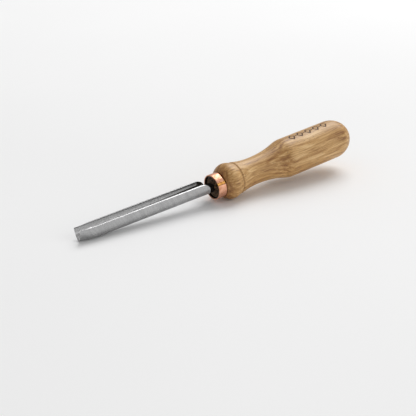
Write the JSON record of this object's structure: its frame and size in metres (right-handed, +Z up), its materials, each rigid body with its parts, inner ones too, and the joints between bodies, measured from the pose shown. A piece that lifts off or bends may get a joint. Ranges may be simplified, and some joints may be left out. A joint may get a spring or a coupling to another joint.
{
  "type": "carving gouge",
  "caption": "Straight carving gouge: a deep U-shaped steel channel sharpened from outside, with a copper ferrule and a turned hardwood handle with a rounded butt.",
  "frame": {"origin": "centre of the bounding box's bottom face, on the floor under the tool as it lies at rest", "axes": "+X from the cutting edge towards the butt, along the floor; +Z up, the open side of the channel; +Y across"},
  "size_m": [0.2422, 0.03, 0.0388],
  "materials": {
    "ground_steel": "ground, with fine marks across the blade and bright rims",
    "copper": "satin-polished copper",
    "brass_filler": "satin brazing brass",
    "oiled_hardwood": "turned, sanded and oiled, satin",
    "black_bedding": "rough, matt black"
  },
  "bodies": {
    "root": {"blade": "ground_steel", "ferrule": "copper", "ferrule_braze": "brass_filler", "handle": "oiled_hardwood", "tang_bedding": "black_bedding"}
  },
  "joints": []
}
